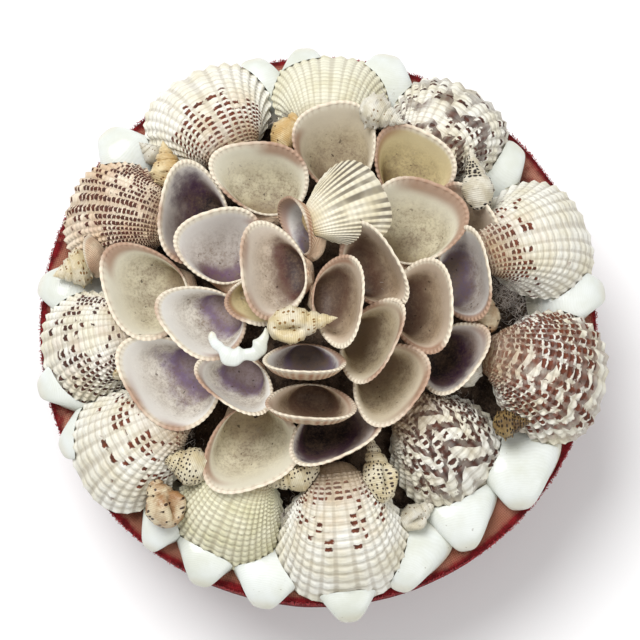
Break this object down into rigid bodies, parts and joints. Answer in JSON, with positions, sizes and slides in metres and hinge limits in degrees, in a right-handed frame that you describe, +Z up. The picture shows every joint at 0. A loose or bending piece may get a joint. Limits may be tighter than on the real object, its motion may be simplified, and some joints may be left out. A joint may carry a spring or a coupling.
{
  "type": "shell box",
  "caption": "Round cloth-covered keepsake box with a hollow drum and a lift-off lid decorated with glued sea shells.",
  "frame": {"origin": "centre of the drum's flat underside", "axes": "+Z up through the lid, +X to the right and +Y to the back of the view that shows the rose upright"},
  "size_m": [0.15, 0.1527, 0.0836],
  "materials": {
    "red_cloth": "worn red cloth over card",
    "glue": "rough fibrous paste, dusty",
    "petal_cream": "satin shell, cream inside with a brown stain",
    "petal_purple": "satin shell, purple-brown inside with a white margin",
    "cockle_brown": "matt white shell with brown dashes on its ribs",
    "cockle_cream": "matt cream shell",
    "clam_white": "smooth chalky white shell",
    "snail_spotted": "cream shell with small brown dots"
  },
  "bodies": {
    "root": {"box_base": "red_cloth", "lid": "red_cloth", "glue_bed": "glue", "petal_valve_01": "petal_cream", "petal_valve_02": "petal_purple", "petal_valve_03": "petal_purple", "petal_valve_04": "petal_cream", "petal_valve_05": "petal_cream", "petal_valve_06": "petal_purple", "petal_valve_07": "petal_cream", "petal_valve_08": "petal_purple", "petal_valve_09": "petal_purple", "petal_valve_10": "petal_cream", "petal_valve_11": "petal_cream", "petal_valve_12": "petal_cream", "petal_valve_13": "petal_purple", "petal_valve_14": "petal_purple", "petal_valve_15": "petal_cream", "petal_valve_16": "petal_cream", "petal_valve_17": "petal_cream", "petal_valve_18": "petal_cream", "petal_valve_19": "petal_cream", "petal_valve_20": "petal_purple", "petal_valve_21": "petal_cream", "petal_valve_22": "petal_purple", "petal_valve_23": "petal_cream", "fan_scallop": "cockle_cream", "edge_valve": "petal_purple", "broken_lip": "clam_white", "large_cockle_01": "cockle_cream", "large_cockle_02": "cockle_brown", "large_cockle_03": "cockle_brown", "large_cockle_04": "cockle_brown", "large_cockle_05": "cockle_brown", "large_cockle_06": "cockle_brown", "large_cockle_07": "cockle_cream", "large_cockle_08": "cockle_brown", "large_cockle_09": "cockle_brown", "large_cockle_10": "cockle_brown", "large_cockle_11": "cockle_brown", "snail_shell_01": "snail_spotted", "snail_shell_02": "snail_spotted", "snail_shell_03": "snail_spotted", "snail_shell_04": "snail_spotted", "snail_shell_05": "snail_spotted", "snail_shell_06": "snail_spotted", "snail_shell_07": "snail_spotted", "snail_shell_08": "snail_spotted", "rim_clam_01": "clam_white", "rim_clam_02": "clam_white", "rim_clam_03": "clam_white", "rim_clam_04": "clam_white", "rim_clam_05": "clam_white", "rim_clam_06": "clam_white", "rim_clam_07": "clam_white", "rim_clam_08": "clam_white", "rim_clam_09": "clam_white", "rim_clam_10": "clam_white", "rim_clam_11": "clam_white", "rim_clam_12": "clam_white"}
  },
  "joints": []
}
